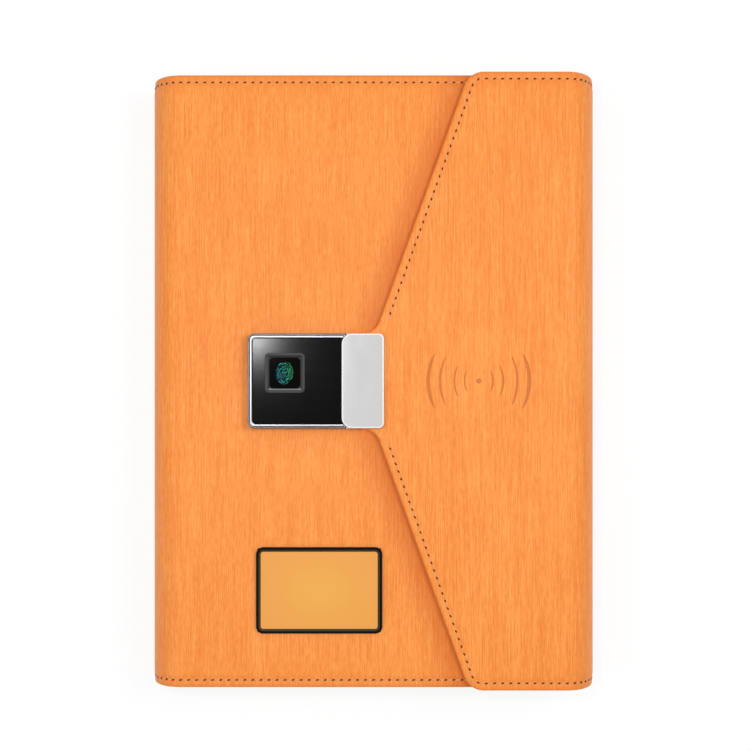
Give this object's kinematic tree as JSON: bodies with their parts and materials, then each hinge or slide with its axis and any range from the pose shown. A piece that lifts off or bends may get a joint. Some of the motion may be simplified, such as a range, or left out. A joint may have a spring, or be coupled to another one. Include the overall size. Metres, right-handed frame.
{
  "type": "fingerprint lock notebook",
  "caption": "Leather wrap-round notebook with a fingerprint lock, a wireless charging cover, a light badge and a sewn paper insert.",
  "frame": {"origin": "middle of the bounding box at the level of the back cover's outer face", "axes": "+X from the spine to the fore edge, +Y up the page, +Z out of the front cover"},
  "size_m": [0.172, 0.2364, 0.0368],
  "materials": {
    "leather": "fine brushed grain, satin",
    "board": "raw board",
    "lining": "microfibre",
    "sleeve": "satin",
    "card": "uncoated",
    "paper": "uncoated",
    "tape": "woven",
    "tray": "moulded",
    "cells": "pouch foil",
    "circuit": "solder mask",
    "steel": "plated",
    "copper": "enamelled wire",
    "ferrite": "sintered sheet",
    "black_gloss": "polished",
    "black_satin": "satin",
    "amber": "translucent diffuser",
    "chrome": "polished",
    "silver": "satin with polished bevel",
    "brass": "turned"
  },
  "bodies": {
    "back_cover": {"back_leather": "leather", "back_board": "board", "back_lining": "lining", "spine_lower_fold": "leather", "fore_edge_lower_fold": "leather", "insert_sleeve": "sleeve", "insert_back_card": "card", "paper_block": "paper", "insert_front_card": "card", "insert_spine_tape": "tape"},
    "spine": {"spine_leather": "leather", "spine_board": "board", "spine_lining": "lining", "spine_upper_fold": "leather"},
    "front_cover": {"front_leather": "leather", "front_tray": "tray", "front_lining": "lining", "card_pockets": "sleeve", "battery_cells": "cells", "power_board": "circuit", "board_screws": "steel", "usb_socket": "steel", "charging_coil": "copper", "ferrite_sheet": "ferrite", "badge_frame": "black_gloss", "badge_lens": "amber", "badge_light_board": "circuit", "lock_base": "chrome", "lock_face": "black_gloss", "lock_screws": "steel", "sensor_bezel": "black_satin", "fingerprint_sensor": "black_gloss", "lock_board": "circuit", "lock_motor": "steel"},
    "lock_bolt": {"lock_bolt": "steel"},
    "lead_screw": {"lead_screw": "brass"},
    "power_button": {"power_button": "black_gloss"},
    "fore_edge": {"fore_edge_leather": "leather", "fore_edge_board": "board", "fore_edge_lining": "lining", "fore_edge_upper_fold": "leather"},
    "flap": {"flap_leather": "leather", "flap_board": "board", "flap_lining": "lining", "clasp_plate": "silver", "clasp_hook": "steel", "clasp_rivets": "steel"}
  },
  "joints": [
    {"name": "spine_hinge", "type": "hinge", "parent": "back_cover", "child": "spine", "pos_m": [-0.074, 0, 0.012], "axis": [0, -1, 0], "range_deg": [0, 85], "deforming": ["spine_lower_fold"]},
    {"name": "front_cover_hinge", "type": "hinge", "parent": "spine", "child": "front_cover", "pos_m": [-0.074, 0, 0.019], "axis": [0, -1, 0], "range_deg": [0, 85], "deforming": ["spine_upper_fold"]},
    {"name": "fore_edge_hinge", "type": "hinge", "parent": "back_cover", "child": "fore_edge", "pos_m": [0.074, 0, 0.012], "axis": [0, 1, 0], "range_deg": [0, 88], "deforming": ["fore_edge_lower_fold"]},
    {"name": "flap_hinge", "type": "hinge", "parent": "fore_edge", "child": "flap", "pos_m": [0.074, 0, 0.0219], "axis": [0, 1, 0], "range_deg": [0, 88], "deforming": ["fore_edge_upper_fold"]},
    {"name": "lead_screw_turn", "type": "hinge", "parent": "front_cover", "child": "lead_screw", "pos_m": [-0.03, -0.01, 0.03025], "axis": [1, 0, 0], "range_deg": [0, 180.1]},
    {"name": "lock_bolt_slide", "type": "slide", "parent": "front_cover", "child": "lock_bolt", "axis": [1, 0, 0], "range_m": [0, 0.003]},
    {"name": "power_button_press", "type": "slide", "parent": "front_cover", "child": "power_button", "axis": [0, 1, 0], "range_m": [0, 0.0006], "stiffness_N_per_m": 400}
  ],
  "couplings": [
    {"joint": "front_cover_hinge", "follows": "spine_hinge", "ratio": 1},
    {"joint": "flap_hinge", "follows": "fore_edge_hinge", "ratio": 1},
    {"joint": "lead_screw_turn", "follows": "lock_bolt_slide", "rad_per_m": 1047.2}
  ]
}
